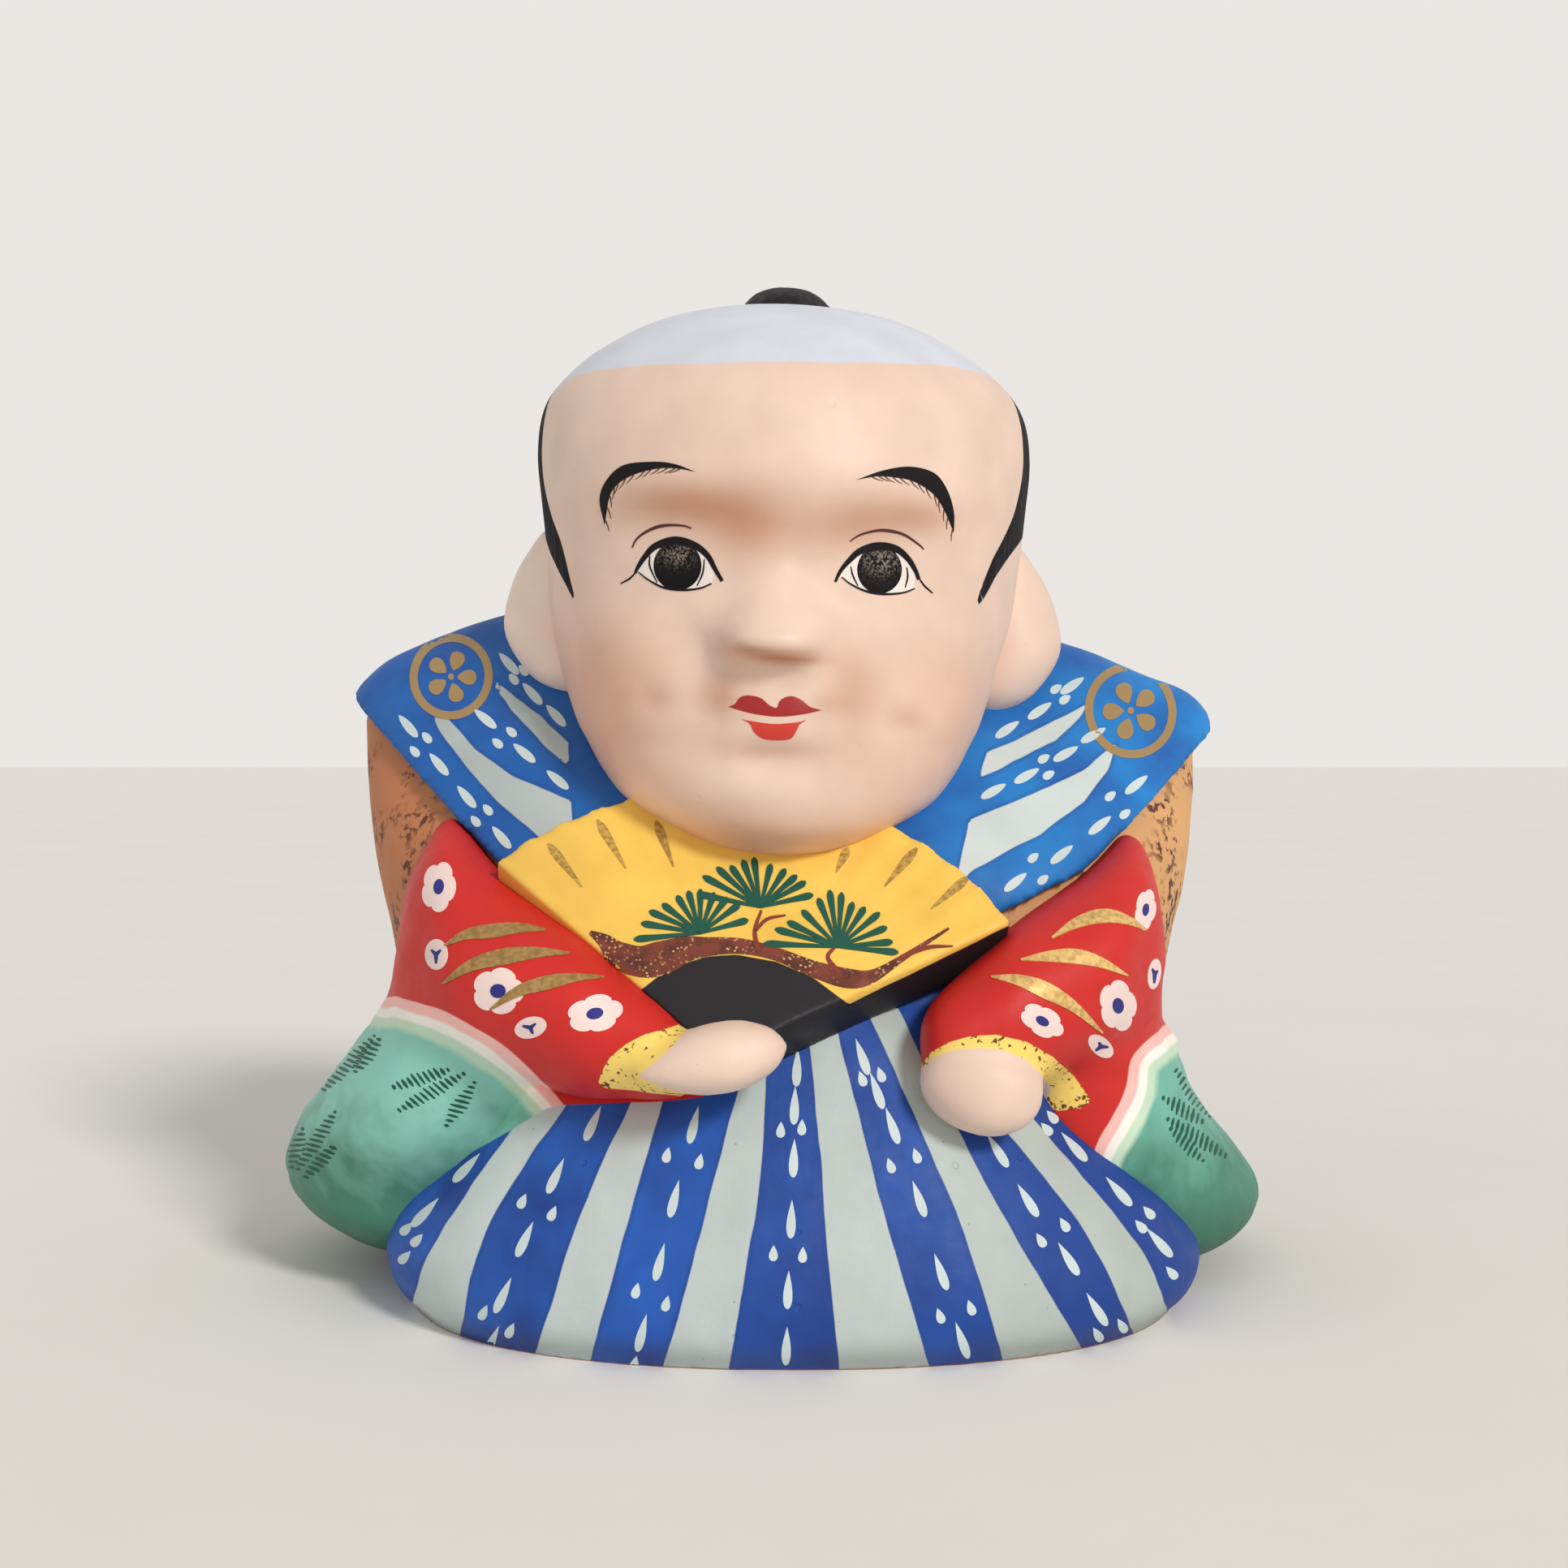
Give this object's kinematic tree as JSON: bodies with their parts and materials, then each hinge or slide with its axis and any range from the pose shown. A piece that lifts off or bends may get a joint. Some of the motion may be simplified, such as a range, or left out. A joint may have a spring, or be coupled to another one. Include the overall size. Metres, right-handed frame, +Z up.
{
  "type": "clay doll",
  "caption": "Seated, large-headed clay doll in formal dress with winged vest and open fan, pressed hollow and luted, for standing on a shelf as an ornament.",
  "frame": {"origin": "middle of the bounding box's bottom face, on the surface the doll stands on", "axes": "+Z up; the doll faces -Y; +X points to the doll's own left, the viewer's right"},
  "size_m": [0.154, 0.112, 0.152],
  "materials": {
    "skirt_blue": "matte paint on fired clay, pale stripes",
    "robe_ochre": "matte paint on fired clay, brown speckle",
    "bare_clay": "bare fired clay",
    "skin": "matte paint on fired clay",
    "hair_black": "matte paint on fired clay",
    "vest_blue": "matte paint on fired clay, pale stripes",
    "sleeve_red": "matte paint on fired clay",
    "bag_green": "matte paint on fired clay",
    "lining_yellow": "matte paint on fired clay"
  },
  "bodies": {
    "root": {"body_front_shell": "skirt_blue", "body_back_shell": "robe_ochre", "base_disc": "bare_clay", "neck_tenon": "bare_clay", "head_front_shell": "skin", "head_back_shell": "hair_black", "topknot": "hair_black", "right_ear": "skin", "left_ear": "skin", "right_shoulder_wing": "vest_blue", "left_shoulder_wing": "vest_blue", "right_sleeve": "sleeve_red", "left_sleeve": "sleeve_red", "right_sleeve_bag": "bag_green", "left_sleeve_bag": "bag_green", "right_cuff": "lining_yellow", "left_cuff": "lining_yellow", "right_hand": "skin", "left_hand": "skin", "fan": "lining_yellow"}
  },
  "joints": []
}
